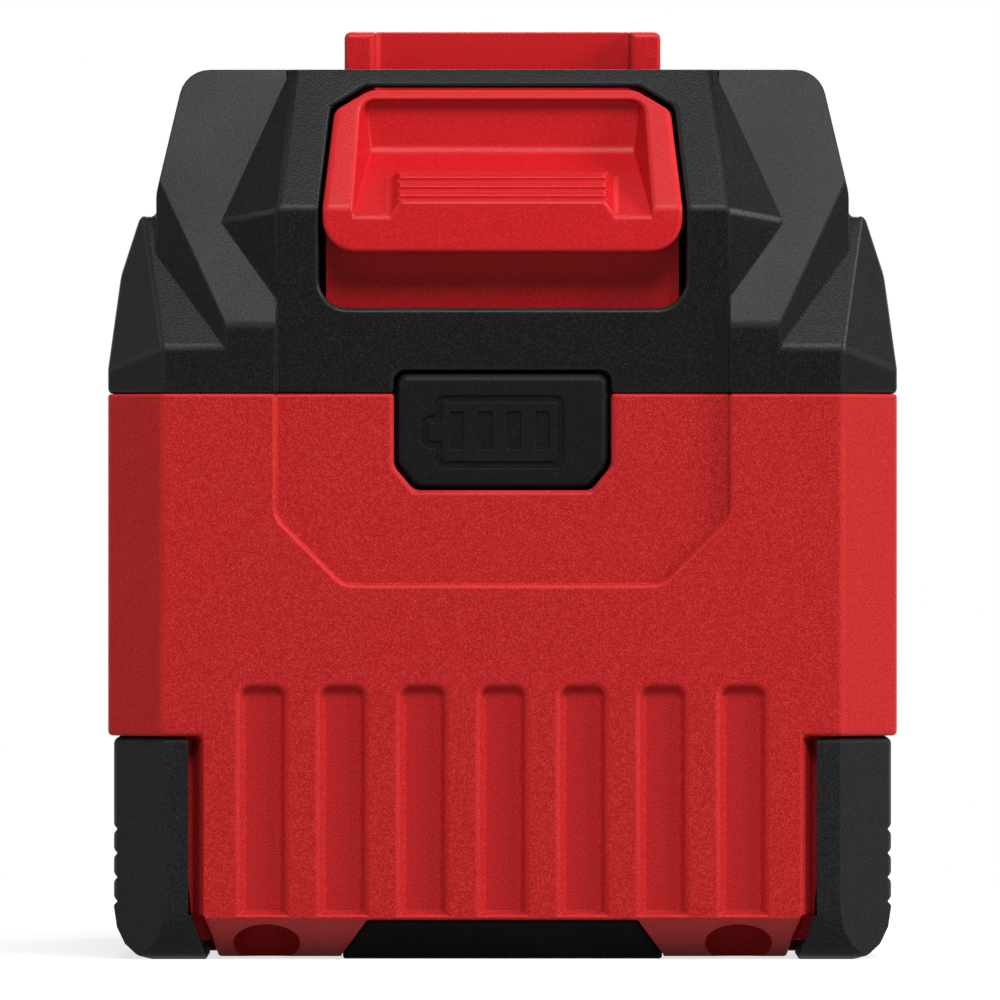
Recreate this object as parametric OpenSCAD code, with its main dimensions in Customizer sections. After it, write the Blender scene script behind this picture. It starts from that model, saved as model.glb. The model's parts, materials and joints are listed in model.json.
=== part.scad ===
// Slide-on battery pack for a cordless tool: ten cells in a two-part case, with corner
// bumpers, a sprung release latch and a charge gauge button.
// The front of the pack, with the latch and the gauge, faces -Y. The origin is the middle
// of the base, +Z is up, and all sizes are in millimetres.

/* [Cells] */
// Diameter of a cell
cell_diameter = 21.2; // [20.6:0.1:21.6]
// Length of a cell
cell_length = 70.2; // [65:0.1:72]
// Distance between neighbouring cells
cell_gap = 0.7; // [0.5:0.1:1]

/* [Case] */
// Room between the cells and the sides of the case
side_room = 1.15; // [1.1:0.05:2]
// Room between the cell holders and the ends of the case
end_room = 2.5; // [2.3:0.1:4]
// Room for the board, from the cell holders up to the seam
board_room = 9.35; // [9:0.05:12]
// Height of the cover from the seam to the deck
cover_height = 33.8; // [31:0.1:38]
// Wall of the case and the cover behind the front panel
wall = 2.6; // [2.2:0.1:2.8]
// Thickness of the case floor
floor_thickness = 3.15; // [2.8:0.05:3.3]
// Width of the upright bevel at each corner
corner_bevel = 5.7; // [4.5:0.1:6]
// Depth of the sunk panel in the middle of the front
panel_depth = 1; // [0.6:0.1:1.2]
// Width of the sunk panel
panel_width = 47; // [44:0.5:49]

/* [Flutes] */
// Number of upright flutes on each end
flute_count = 7; // [3:2:7]
// Distance from one flute to the next
flute_pitch = 8.3; // [7.6:0.1:8.5]
// Width of a flute
flute_width = 5; // [4:0.1:5.6]
// Depth of a flute
flute_depth = 0.8; // [0.4:0.1:1]

/* [Bumpers] */
// Height of the corner bumpers
bumper_height = 23.2; // [20:0.1:26]
// Thickness of a corner bumper
bumper_thickness = 2.4; // [2:0.1:2.6]
// Length of a bumper along the side of the case
bumper_reach = 34; // [24:1:44]
// Number of grip ribs on the side of a bumper
bumper_rib_count = 4; // [2:1:5]

/* [Latch] */
// Width of the release button
latch_width = 37.4; // [34:0.2:38]
// Travel of the latch when it is pressed down
latch_travel = 5; // [4:0.1:5.2]
// Height of the hook above the deck
hook_height = 4.1; // [3:0.1:4.6]
// Width of the hook
hook_width = 33; // [28:0.2:33.6]

/* [Gauge] */
// Width of the gauge button
gauge_width = 22; // [20:0.2:23]
// Height of the gauge button
gauge_height = 11.9; // [11:0.1:12]
// Travel of the gauge button
gauge_travel = 0.8; // [0.4:0.1:0.8]

/* [Fits] */
// Running gap between a moving piece and its guide
slide_gap = 0.35; // [0.25:0.05:0.4]
// Gap between pieces that are seated on each other
seat_gap = 0.15; // [0.1:0.05:0.2]

/* [Hidden] */
$fn = 48;
past = 1;                     // how far a cut runs past the face it opens
far = 300;                    // longer than the pack, for cuts that run right through
weld_gap = 0.02;              // gap between pieces that are welded or soldered

// Case and bumpers
base_lift = 0.25;             // the case clears the floor, which the pads stand on
base_bevel = 4.05;            // height of the slope under the ends and sides of the case
base_slope = [7, base_bevel]; // run and rise of that slope
bumper_inset = 0.6;           // the bumpers sit back from the case
bumper_slope = [4, 5.4];      // run and rise of the curve under a bumper
core_slope = [1.8, 2.6];      // the same, on the case behind a bumper
bumper_foot = 1.85;           // the bumper reaches under the case this thick
core_inset = bumper_inset + bumper_thickness + seat_gap;
core_wall = 1.6;              // case wall behind the bumpers
cavity_inset = core_inset + core_wall;
end_inset = panel_depth + wall;
floor_top = base_lift + floor_thickness;

// Cell block, which sets the size of the pack
cell_r = cell_diameter / 2;
cell_pitch = cell_diameter + cell_gap;
cell_columns = 5;
cell_rows = 2;
cell_button = [4.6, 0.8];     // radius and height of the raised positive end
web = 1.2;                    // holder wall round a cell
cell_first_z = floor_top + web + cell_r + 2 * seat_gap;
holder_top = cell_first_z + (cell_rows - 1) * cell_pitch + cell_r + seat_gap + web;
holder_half_l = (cell_columns - 1) / 2 * cell_pitch + cell_r + seat_gap + web;
holder_depth = 6.6;
holder_inner = cell_length / 2 - holder_depth;

half_w = cell_length / 2 + side_room + cavity_inset;
half_l = holder_half_l + end_room + cavity_inset;
pack_width = 2 * half_w;
pack_length = 2 * half_l;
front_y = -half_l;
seam_height = holder_top + board_room;
deck_height = seam_height + cover_height;

// Details of the case
end_panel = half_w - 10;      // half width of the end panel between the bumpers
end_panel_flare = 1.2;        // the panel's sides widen towards the bumper
bumper_gap = 1.3;             // groove between a bumper and the end panel
foot_flare = [1.6, 4.6];      // the bumper's foot widens under the end panel's corner
side_inset = 1.1;             // the case sits back between the bumpers
panel_half = panel_width / 2;
panel_low = seam_height - 19.8;
panel_corner = 7;             // slanted corners of the sunk panels
panel_round = 2.4;            // rounding where a slanted corner starts and ends
side_panel_depth = 0.7;
side_panel_margin = 6;        // from the bumpers up to the sunk side panel
side_panel_reach = 12;        // the panel runs this far over the bumpers
flute_top = panel_low - 10.4;
flute_round = 1.2;
flute_foot = 0.3;             // the flutes stop this far above the slope of the base
pad_half = 16.6;              // base pad at its widest
pad_slope = 3.3;               // the pad narrows up the bevel
pad_recess = 1.2;
pad_top = base_lift + base_bevel - 0.3;

// Case screws
screw_x = end_panel - 6.5;
screw_y = half_l - 4.6;
screw_r = 1.5;
screw_hole_r = screw_r + 0.1;
screw_head_r = 2.9;
screw_well_r = 3.5;
screw_well_top = 9;
screw_head_h = 2.2;
boss_r = 3.25;
boss_foot = [4.3, 10.6];      // radius and top of the thick foot of a boss
screw_top = seam_height + 4.5;
boss_top = seam_height + 6.2;

// Cover
block_depth = 28;             // depth of the tall block that holds the latch
fold_height = deck_height - 14.5;
lean = 8;                     // how far the front leans back above the fold
shoulder_foot = seam_height + 7.2;
shoulder_run = 5.5;           // depth of the plan bevel beside a shoulder
wing_foot = seam_height + 4.8;
wing_lean = 0.56;
wing_top = seam_height + 18.5;
wing_break = seam_height + 2.6;
wing_half = half_w - 3.3;     // half width at the top of the wings
shoulder_half = half_w - 12.3; // half width of the shoulder at the front
block_half = half_w - 5;      // half width of the tall block
block_top_half = block_half - 3;
block_round = 3.2;
panel_side_run = 6.1;         // depth of the plan bevel beside the middle block
bay_taper = 1.2;              // the latch and its bay narrow above the fold

// Latch bay
bay_half = latch_width / 2 + slide_gap;
bay_low = seam_height + 8.9;
bay_top = deck_height - 1.8;
bay_depth = block_depth - wall;
bay_corner = [3.7, 2.2];
bay_round = 3;
cheek = 2;
shelf_top = seam_height + 2.1;
shelf_thickness = 1.6;
shelf_front = 8.8;

// Rail that the tool slides over
rail_half = half_w - 13;
rail_neck_half = rail_half - 4.5;
rail_groove = 5.4;
rail_top = deck_height - 2.9;
rail_end = half_l - 9.5;
slot_count = 5;
slot_pitch = (rail_neck_half - wall - 5.7) / ((slot_count - 1) / 2);
slot_width = 2.4;
slot_length = 24;

// Mirrored pair across X
module both_sides() {
    children();
    mirror([1, 0, 0]) children();
}

// One copy at each end of the pack
module both_ends() {
    children();
    mirror([0, 1, 0]) children();
}

// An outline drawn as width and height, stretched along Y from one place to another
module along_y(from, to) {
    translate([0, to, 0]) rotate([90, 0, 0]) linear_extrude(to - from) children();
}

// An outline drawn as depth behind the front and height, centred across X
module across_x(width) {
    translate([-width / 2, front_y, 0]) rotate([90, 0, 90]) linear_extrude(width) children();
}

// Plan of the pack with bevelled corners, drawn in by an even distance
module plan(inset = 0) {
    w = half_w - inset;
    l = half_l - inset;
    b = corner_bevel - inset * (2 - sqrt(2));
    polygon([[w - b, -l], [w, b - l], [w, l - b], [w - b, l],
             [b - w, l], [-w, l - b], [-w, b - l], [b - w, -l]]);
}

// Outline with its two lower corners cut off, straight or in steps round a curve
module bevelled_profile(half, low, high, slope, steps) {
    right = [for (i = [0 : steps]) let (a = 90 * i / steps)
             [half - slope[0] * (1 - sin(a)), low + slope[1] * (1 - cos(a))]];
    polygon(concat(right, [[half, high], [-half, high]],
                   [for (i = [steps : -1 : 0]) [-right[i][0], right[i][1]]]));
}

// Block with the pack's plan and a slope under all its sides
module bevelled_block(inset, low, high, slope, steps = 1) {
    intersection() {
        translate([0, 0, low]) linear_extrude(high - low) plan(inset);
        along_y(-half_l, half_l) bevelled_profile(half_w - inset, low, high, slope, steps);
        rotate([0, 0, 90]) along_y(-half_w, half_w)
            bevelled_profile(half_l - inset, low, high, slope, steps);
    }
}

// Everything on the far side of the plane through three points, away from the pack
module beyond(p, q, r) {
    n = cross(q - p, r - p);
    out = (n * p < n * [0, 0, 0] ? -1 : 1) * n / norm(n);
    turn = cross([0, 0, 1], out);
    translate(p) rotate(acos(out[2]), turn) translate([-far / 2, -far / 2, 0]) cube(far);
}

// Points of an arc about a centre
function arc(centre, r, from, to, steps = 6) =
    [for (i = [0 : steps]) let (a = from + (to - from) * i / steps) centre + r * [cos(a), sin(a)]];

// Rounded rectangle by its low and high corners
function rounded_points(low, high, r) = concat(
    arc([high[0] - r, low[1] + r], r, -90, 0), arc([high[0] - r, high[1] - r], r, 0, 90),
    arc([low[0] + r, high[1] - r], r, 90, 180), arc([low[0] + r, low[1] + r], r, 180, 270));

module rounded_outline(low, high, r) {
    polygon(rounded_points(low, high, r));
}

// Case
module end_panel_plan(grow = 0) {
    half = end_panel + grow;
    flare = half + end_panel_flare;
    polygon([[-half, -half_l], [half, -half_l], [flare, core_inset - half_l],
             [flare, half_l - core_inset], [half, half_l], [-half, half_l],
             [-flare, half_l - core_inset], [-flare, core_inset - half_l]]);
}

// Corner under the end of the case that is given over to the bumper's foot
module foot_corner(inner, outer) {
    polygon([[inner - foot_flare[0], 0], [outer, 0], [outer, foot_flare[1]], [inner, foot_flare[1]]]);
}

module case_outside() {
    translate([0, 0, bumper_height]) linear_extrude(seam_height - bumper_height) plan();
    bevelled_block(core_inset, bumper_foot + seat_gap, bumper_height, core_slope);
    intersection() {
        bevelled_block(0, base_lift, bumper_height, base_slope);
        union() {
            difference() {
                linear_extrude(bumper_height) end_panel_plan();
                both_sides() along_y(-far, far) foot_corner(end_panel, far);
            }
            linear_extrude(bumper_height)
                square([pack_width - 2 * side_inset, pack_length - 2 * bumper_reach], center = true);
        }
    }
}

module case_cavity() {
    bevelled_block(cavity_inset, floor_top, far, core_slope);
    translate([0, 0, bumper_height + wall]) linear_extrude(far) plan(end_inset);
    translate([end_inset - end_panel, end_inset - half_l, floor_top + wall])
        cube([2 * (end_panel - end_inset), pack_length - 2 * end_inset, far]);
}

module flutes() {
    half = flute_width / 2;
    low = base_lift + base_bevel + flute_foot;
    centre = [half - flute_round, flute_top - flute_round];
    for (i = [0 : flute_count - 1])
        translate([(i - (flute_count - 1) / 2) * flute_pitch, 0, 0])
            along_y(front_y - past, front_y + flute_depth)
                polygon(concat([[-half, low], [half, low]], arc(centre, flute_round, 0, 90),
                               arc([-centre[0], centre[1]], flute_round, 90, 180)));
}

// The sunk panel's outline, from its lower edge up past the seam
module panel_outline(top) {
    side = panel_low + panel_corner + panel_round * tan(22.5);
    foot = panel_half - panel_corner - panel_round * tan(22.5);
    right = concat(arc([foot, panel_low + panel_round], panel_round, -90, -45, 3),
                   arc([panel_half - panel_round, side], panel_round, -45, 0, 3));
    polygon(concat(right, [[panel_half, top], [-panel_half, top]],
                   [for (i = [len(right) - 1 : -1 : 0]) [-right[i][0], right[i][1]]]));
}

// Shallow sunk panel on each side of the case
module side_panels() {
    low = bumper_height + side_panel_margin;
    half = half_l - bumper_reach + side_panel_reach;
    both_sides() translate([half_w - side_panel_depth, 0, 0])
        rotate([90, 0, 90]) linear_extrude(past + side_panel_depth)
            polygon([[-half + panel_corner, low], [half - panel_corner, low], [half, low + panel_corner],
                     [half, far], [-half, far], [-half, low + panel_corner]]);
}

module at_case_screws() {
    for (x = [-screw_x, screw_x], y = [-screw_y, screw_y]) translate([x, y, 0]) children();
}

module base_pad_outline(gap) {
    half = pad_half + gap;
    narrow = half - pad_slope;
    low = half_l - base_slope[0] + gap;
    polygon([[-half, -low], [-narrow, -half_l - past], [narrow, -half_l - past], [half, -low],
             [half, low], [narrow, half_l + past], [-narrow, half_l + past], [-half, low]]);
}

// Sheet that follows the base and the slopes under both ends
module base_skin(depth, low) {
    difference() {
        bevelled_block(0, low, base_lift + base_bevel + depth, base_slope);
        translate([0, 0, depth]) bevelled_block(0, base_lift, far, base_slope);
    }
}

// Everything below the top of the base pad
module below_pad_top(gap) {
    translate([-far / 2, -far / 2, pad_top + gap - far]) cube(far);
}

module lower_case() {
    color("firebrick") difference() {
        union() {
            difference() {
                case_outside();
                case_cavity();
            }
            intersection() {
                at_case_screws() {
                    cylinder(seam_height, r = boss_r);
                    cylinder(boss_foot[1], r = boss_foot[0]);
                }
                translate([0, 0, floor_top]) linear_extrude(seam_height - floor_top)
                    plan(panel_depth + wall / 2);
            }
        }
        both_ends() flutes();
        along_y(front_y - past, front_y + panel_depth) panel_outline(far);
        side_panels();
        gauge_pocket();
        at_case_screws() {
            translate([0, 0, -past]) cylinder(screw_well_top + past, r = screw_well_r);
            cylinder(far, r = screw_hole_r);
        }
        intersection() {
            base_skin(pad_recess, 0);
            below_pad_top(seat_gap);
            linear_extrude(far) base_pad_outline(seat_gap);
        }
    }
}

module base_pad() {
    color("dimgray") intersection() {
        translate([0, 0, -base_lift]) base_skin(pad_recess + base_lift - seat_gap, base_lift);
        linear_extrude(far) base_pad_outline(0);
        below_pad_top(0);
    }
}

// Bumpers
bumper_rib_pitch = 2.5;
bumper_rib_low = 6;
bumper_rib_depth = 0.4;

module bumper_zone() {
    reach = bumper_reach - half_l - seat_gap;
    linear_extrude(far) difference() {
        translate([end_panel, -far]) square([far, far + reach]);
        end_panel_plan(bumper_gap);
    }
    along_y(-far, reach) foot_corner(end_panel + bumper_gap, half_w);
}

// Grooves that leave grip ribs down the side of a bumper
module bumper_grooves() {
    side = bumper_rib_depth * sqrt(2);
    for (i = [0 : bumper_rib_count - 1])
        translate([half_w - bumper_inset, -half_l, bumper_rib_low + i * bumper_rib_pitch])
            rotate([0, 45, 0]) cube([side, 2 * pack_length, side], center = true);
}

// The bumper at the front right corner
module corner_bumper() {
    color("dimgray") difference() {
        intersection() {
            bevelled_block(bumper_inset, 0, bumper_height - seat_gap, bumper_slope, 4);
            bumper_zone();
        }
        bevelled_block(core_inset - seat_gap, bumper_foot, far, core_slope);
        bumper_grooves();
    }
}

module bumper_front_right() { corner_bumper(); }
module bumper_front_left() { mirror([1, 0, 0]) corner_bumper(); }
module bumper_rear_right() { mirror([0, 1, 0]) corner_bumper(); }
module bumper_rear_left() { rotate([0, 0, 180]) corner_bumper(); }

// Cover
facet_bite = 0.3;             // keeps the facets from meeting in one point
wing_bulge = [1.3, 9.7];      // the wing's side bends here, in from the side and up
corner_top = [wing_half, front_y + (wing_top - wing_foot) * wing_lean + 0.4, wing_top];
fold_corner = [panel_half - facet_bite, front_y + panel_depth, fold_height];
facet_top = [panel_half - 2, front_y + panel_depth + lean, deck_height];
shoulder_top = facet_top + [0, facet_bite, 0];
kink_x = half_w - 11.6;       // the facets beside the middle block meet a shoulder here
kink_drop = 1.35;
kink = [kink_x, front_y + panel_depth + (kink_x - panel_half) * panel_side_run / (block_half - panel_half),
        fold_height - kink_drop];
block_side_foot = wing_top + 2.3;
block_side_angle = atan2(block_half - block_top_half, deck_height - block_side_foot);

module cover_wings() {
    difference() {
        translate([0, 0, seam_height]) linear_extrude(wing_top - seam_height) plan();
        both_ends() across_x(far)
            polygon([[-far, wing_foot - far / wing_lean], [far * wing_lean, wing_foot + far],
                     [-far, wing_foot + far]]);
        both_sides() along_y(-far, far)
            polygon([[half_w, wing_break], [half_w - wing_bulge[0], wing_break + wing_bulge[1]],
                     [wing_half, wing_top], [wing_half, far], [far, far], [far, wing_break]]);
        both_ends() both_sides()
            beyond([half_w, front_y + corner_bevel, wing_break],
                   [half_w - corner_bevel, front_y, wing_foot], corner_top);
    }
}

// Front outline of the tall block, with leaning sides and round top corners
module block_outline() {
    shrink = block_round * tan((90 - block_side_angle) / 2);
    corner = arc([block_top_half - shrink, deck_height - block_round], block_round, block_side_angle, 90);
    polygon(concat([[-block_half, seam_height], [block_half, seam_height], [block_half, block_side_foot]],
                   corner, [for (i = [len(corner) - 1 : -1 : 0]) [-corner[i][0], corner[i][1]]],
                   [[-block_half, block_side_foot]]));
}

module tall_block_plan(front, front_half, run) {
    side = front + run;
    polygon([[-front_half, front_y + front], [front_half, front_y + front], [block_half, front_y + side],
             [block_half, front_y + block_depth], [-block_half, front_y + block_depth],
             [-block_half, front_y + side]]);
}

// Shoulders beside the middle block, each with one slope that climbs to the deck
module cover_shoulders() {
    difference() {
        intersection() {
            along_y(front_y, front_y + block_depth) block_outline();
            linear_extrude(far) tall_block_plan(0, shoulder_half, shoulder_run);
        }
        translate([past - panel_half, -far / 2, 0]) cube([panel_width - 2 * past, far, far]);
        both_sides() beyond([shoulder_half, front_y, shoulder_foot],
                            [panel_half, front_y, shoulder_foot], shoulder_top);
    }
}

// Middle block around the latch, which leans back above the fold
module cover_middle() {
    difference() {
        intersection() {
            along_y(front_y, front_y + block_depth) block_outline();
            linear_extrude(far) tall_block_plan(panel_depth, panel_half, panel_side_run);
            across_x(far)
                polygon([[panel_depth, seam_height], [panel_depth, fold_height],
                         [panel_depth + lean, deck_height], [far, deck_height], [far, seam_height]]);
        }
        both_sides() beyond(fold_corner, kink, facet_top);
    }
}

// Outline of the bay or the latch: upright below the fold, then narrowing to slanted corners
function bay_points(half, low, high, r) = let (top = half - bay_taper, side = high - bay_corner[1],
    right = concat(arc([half - r, low + r], r, -90, 0),
                   [[half, fold_height], [top, side], [top - bay_corner[0], high]]))
    concat(right, [for (i = [len(right) - 1 : -1 : 0]) [-right[i][0], right[i][1]]]);

module latch_bay() {
    along_y(front_y - past, front_y + hook_front)
        polygon(bay_points(bay_half, bay_low, bay_top, bay_round));
    across_x(2 * bay_half)
        polygon([[end_inset, 0], [end_inset, fold_height], [end_inset + lean, deck_height - wall],
                 [bay_depth, deck_height - wall], [bay_depth, 0]]);
    translate([-hook_width / 2 - slide_gap, front_y + hook_front - slide_gap, 0])
        cube([hook_width + 2 * slide_gap, hook_depth + 2 * slide_gap, far]);
}

module cover_cavity() {
    ceiling = wing_top - wall;
    slope_foot = wing_foot - wall;
    ceiling_inset = end_inset + (ceiling - slope_foot) * wing_lean;
    across_x(2 * (wing_half - wall))
        polygon([[end_inset, 0], [end_inset, slope_foot], [ceiling_inset, ceiling],
                 [pack_length - ceiling_inset, ceiling], [pack_length - end_inset, slope_foot],
                 [pack_length - end_inset, 0]]);
    translate([wall - rail_neck_half, front_y + block_depth - wall, 0])
        cube([2 * (rail_neck_half - wall), rail_end - front_y - block_depth, rail_top - wall]);
}

// Cheeks that guide the latch, and the shelf with pegs that carries its springs
module latch_guides() {
    both_sides() translate([bay_half, front_y + end_inset - past / 2, seam_height])
        cube([cheek, block_depth - end_inset, wing_top - seam_height]);
    translate([-bay_half - past / 2, front_y + shelf_front, shelf_top - shelf_thickness])
        cube([2 * bay_half + past, bay_depth - shelf_front, shelf_thickness]);
    both_sides() translate([spring_x, front_y + spring_depth, shelf_top - shelf_thickness])
        cylinder(shelf_thickness + spring_peg, r = spring_peg_r);
}

module rail() {
    length = rail_end - front_y - block_depth;
    translate([0, front_y + block_depth + length / 2, 0]) {
        translate([-rail_neck_half, -length / 2, wing_top - wall])
            cube([2 * rail_neck_half, length, rail_top - wing_top]);
        translate([-rail_half, -length / 2, wing_top + rail_groove])
            cube([2 * rail_half, length, rail_top - wing_top - rail_groove]);
    }
}

module at_slots() {
    for (i = [0 : slot_count - 1]) translate([(i - (slot_count - 1) / 2) * slot_pitch, 0, 0]) children();
}

module upper_cover() {
    color("darkslategray") difference() {
        union() {
            difference() {
                union() {
                    cover_wings();
                    cover_shoulders();
                    cover_middle();
                    rail();
                }
                along_y(front_y - past, front_y + panel_depth) panel_outline(far);
                cover_cavity();
                latch_bay();
            }
            latch_guides();
            intersection() {
                at_case_screws() translate([0, 0, seam_height])
                    cylinder(boss_top - seam_height, r = boss_r);
                linear_extrude(far) plan(panel_depth + wall / 2);
            }
        }
        gauge_pocket();
        at_case_screws() cylinder(screw_top + past, r = screw_hole_r);
        at_slots() translate([-slot_width / 2, rail_end - slot_length, wing_top + wall])
            cube([slot_width, far, far]);
    }
}

module case_screws() {
    head = screw_well_top - screw_head_h - 0.02;
    color("silver") at_case_screws() {
        translate([0, 0, head]) cylinder(screw_head_h, r = screw_head_r);
        translate([0, 0, head]) cylinder(screw_top - head, r = screw_r);
    }
}

// Latch
latch_half = latch_width / 2;
latch_top = bay_top - slide_gap;
lip_low = bay_low + latch_travel + 0.8;
lip_round = 3.4;
skirt_front = end_inset + slide_gap + 2.4;
skirt_back = skirt_front + 2;
skirt_low = shelf_top + latch_travel + 0.6;
latch_back = 15;
spring_top = lip_low + 0.6;
hook_front = 16;
hook_depth = 6;
hook_block = 3.2;             // width of the hook's two end blocks
hook_sink = 2;                // the hook is sunk between its end blocks
arm_low = spring_top + 6;
scoop_half = latch_half - 3.1;
scoop_taper = 0.7;            // the scoop narrows upwards with the latch
scoop_round = 1.5;
scoop_low = fold_height - 0.9;
scoop_high = fold_height + 11.3;
scoop_back = 8.9;
scoop_lean = 1.2;             // the back of the scoop leans out above its floor
scoop_rise = 6.9;
grip_half = latch_half - 8.1;
grip_lift = 1.1;
grip_count = 4;
grip_pitch = 1.45;
grip_groove = 0.55;
spring_x = 11;
spring_depth = 12;
spring_peg = 3;
spring_peg_r = 1.6;
spring_r = 2.4;               // middle of the wire
spring_wire = 0.7;
spring_turns = 7;

module latch_outline() {
    polygon(bay_points(latch_half, lip_low, latch_top, lip_round));
}

module scoop_outline() {
    low = scoop_half - scoop_round;
    right = concat(arc([low, scoop_low - 0.9 + scoop_round], scoop_round, -90, 0),
                   arc([low - scoop_taper, scoop_high - scoop_round], scoop_round, 0, 90));
    polygon(concat(right, [for (i = [len(right) - 1 : -1 : 0]) [-right[i][0], right[i][1]]]));
}

// Finger scoop, whose floor slopes up from the lip to an upright back
module latch_scoop() {
    floor_run = scoop_back - panel_depth;
    intersection() {
        across_x(2 * scoop_half)
            polygon([[panel_depth - floor_run, scoop_low - scoop_rise],
                     [scoop_back, scoop_low + scoop_rise], [scoop_back - scoop_lean, scoop_high],
                     [panel_depth - floor_run, scoop_high]]);
        along_y(front_y - far, front_y + far) scoop_outline();
    }
}

// Raised pad with sloped flanks and grooves across it, on the floor of the scoop
module latch_grip() {
    slope = atan2(scoop_rise, scoop_back - panel_depth);
    length = grip_count * grip_pitch + grip_groove;
    flank = grip_half + grip_lift;
    intersection() {
        translate([0, front_y + panel_depth, scoop_low]) rotate([slope, 0, 0]) difference() {
            along_y(-grip_lift, length)
                polygon([[-flank, 0], [-flank, -past], [flank, -past], [flank, 0],
                         [grip_half, grip_lift], [-grip_half, grip_lift]]);
            for (i = [0 : grip_count - 1])
                translate([-flank, (i + 1) * grip_pitch, grip_lift - grip_groove / 2])
                    cube([2 * flank, grip_groove, grip_groove]);
        }
        translate([-far / 2, front_y + panel_depth, 0]) cube(far);
    }
}

module release_latch() {
    face_top = panel_depth + lean * (latch_top - fold_height) / (deck_height - fold_height);
    color("firebrick") {
        difference() {
            union() {
                intersection() {
                    across_x(latch_width)
                        polygon([[panel_depth, lip_low], [panel_depth, fold_height], [face_top, latch_top],
                                 [latch_back, latch_top], [latch_back, spring_top],
                                 [skirt_back, spring_top], [skirt_back, lip_low]]);
                    along_y(front_y, front_y + far) latch_outline();
                }
                translate([-latch_half + slide_gap, front_y + skirt_front, skirt_low])
                    cube([latch_width - 2 * slide_gap, skirt_back - skirt_front, fold_height - skirt_low]);
            }
            latch_scoop();
        }
        latch_grip();
        translate([-hook_width / 2, front_y + latch_back - past, arm_low])
            cube([hook_width, hook_front + hook_depth - latch_back + past, latch_top - wall - arm_low]);
        latch_hook();
    }
}

module latch_hook() {
    top = deck_height + hook_height;
    foot = latch_top - wall - past;
    back = hook_front + hook_depth;
    nose = back - hook_height / 2;
    difference() {
        translate([-hook_width / 2, front_y + hook_front, foot]) cube([hook_width, hook_depth, top - foot]);
        translate([hook_block - hook_width / 2, front_y + hook_front - past, foot])
            cube([hook_width - 2 * hook_block, hook_sink + past, far]);
        across_x(far)
            polygon([[back, deck_height], [back + past, deck_height], [back + past, top + past],
                     [nose, top + past], [nose, top]]);
    }
}

// Coil of round wire, swept ring by ring; its two ends are closed flat
ring_sides = 6;
rings_per_turn = 10;
module coil(r, wire, low, high, turns) {
    rings = turns * rings_per_turn;
    rise = high - low - wire;
    points = [for (i = [0 : rings])
        let (a = 360 * i / rings_per_turn, z = low + wire / 2 + rise * i / rings)
        for (k = [0 : ring_sides - 1]) let (b = 360 * k / ring_sides, out = r + wire / 2 * cos(b))
            [out * cos(a), out * sin(a), z + wire / 2 * sin(b)]];
    sides = [for (i = [0 : rings - 1], k = [0 : ring_sides - 1])
        let (n = (k + 1) % ring_sides, p = i * ring_sides, q = p + ring_sides)
        each [[p + k, q + n, p + n], [p + k, q + k, q + n]]];
    first = [for (k = [1 : ring_sides - 2]) [0, k, k + 1]];
    last = [for (k = [1 : ring_sides - 2]) let (p = rings * ring_sides) [p, p + k + 1, p + k]];
    polyhedron(points, concat(sides, first, last));
}

module latch_springs() {
    color("silver") both_sides() translate([spring_x, front_y + spring_depth, 0])
        coil(spring_r, spring_wire, shelf_top + seat_gap, spring_top - seat_gap, spring_turns);
}

// Charge gauge
gauge_gap = 0.25;
gauge_half = gauge_width / 2;
gauge_high = seam_height + 2.15;
gauge_low = gauge_high - gauge_height;
gauge_mid = (gauge_low + gauge_high) / 2;
gauge_corner = [2.1, 2.5];
gauge_round = 1.2;
gauge_face = panel_depth + 0.15;
flange_front = end_inset + seat_gap;
flange_back = flange_front + 1.2;
flange_lip = 1.1;
switch_z = gauge_mid - 2.9;
post_r = 1.5;
post_back = flange_back + 1.1;
icon_depth = 0.35;
icon_low = [4 - gauge_half, gauge_low + 2];
icon_high = [gauge_half - 4.6, gauge_high - 2.3];
icon_line = 0.75;
icon_round = 1;
icon_nub = [1.5, 3.4];
bar_count = 4;
bar_margin = 1.52;            // what the bars leave free across the symbol
bar_size = [1.45, icon_high[1] - icon_low[1] - 3.6];
bar_pitch = (icon_high[0] - icon_low[0] - bar_margin) / bar_count;
bar_first = icon_low[0] + 2.25; // middle of the first bar

module gauge_outline(grow) {
    w = gauge_half + grow;
    low = gauge_low - grow;
    high = gauge_high + grow;
    polygon(concat([[gauge_corner[0] - w, low], [w - gauge_corner[0], low], [w, low + gauge_corner[1]]],
                   arc([w - gauge_round, high - gauge_round], gauge_round, 0, 90),
                   arc([gauge_round - w, high - gauge_round], gauge_round, 90, 180),
                   [[-w, low + gauge_corner[1]]]));
}

module gauge_pocket() {
    along_y(front_y - past, front_y + end_inset + past) gauge_outline(gauge_gap);
}

// Outline of a cell with its nub to the left, drawn in by an even distance
module icon_outline(inset) {
    mid = (icon_low[1] + icon_high[1]) / 2;
    edge = [inset, inset];
    round = icon_round - inset;
    nub = icon_low[0] - icon_nub[0];
    rounded_outline(icon_low + edge, icon_high - edge, round);
    rounded_outline([nub, mid - icon_nub[1] / 2] + edge,
                    [icon_low[0] + inset + past, mid + icon_nub[1] / 2 - inset], round);
}

module at_bars() {
    for (i = [0 : bar_count - 1]) translate([bar_first + i * bar_pitch, gauge_mid]) children();
}

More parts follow.
